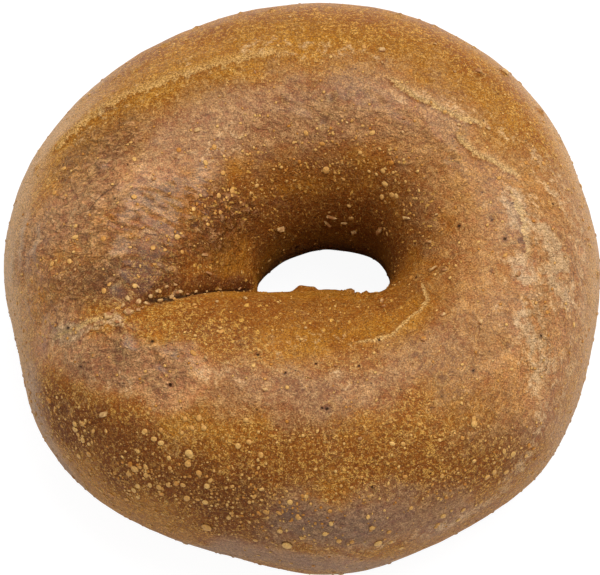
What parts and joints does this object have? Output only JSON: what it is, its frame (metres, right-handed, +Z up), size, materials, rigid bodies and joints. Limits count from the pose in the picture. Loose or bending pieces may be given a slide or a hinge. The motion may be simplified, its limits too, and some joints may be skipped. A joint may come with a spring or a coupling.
{
  "type": "bagel",
  "caption": "Hand-rolled baked bagel: a plump, uneven ring of browned dough with a narrow hole, a crease where the rope's ends meet, and a flat base to lie on.",
  "frame": {"origin": "middle of the box round the bagel, at the height of its flat base", "axes": "+Z up out of the base through the hole, +X to the right of the crease's side, +Y to the far side"},
  "size_m": [0.1106, 0.1118, 0.042],
  "materials": {
    "crust": "satin"
  },
  "bodies": {
    "root": {"bagel": "crust"}
  },
  "joints": []
}
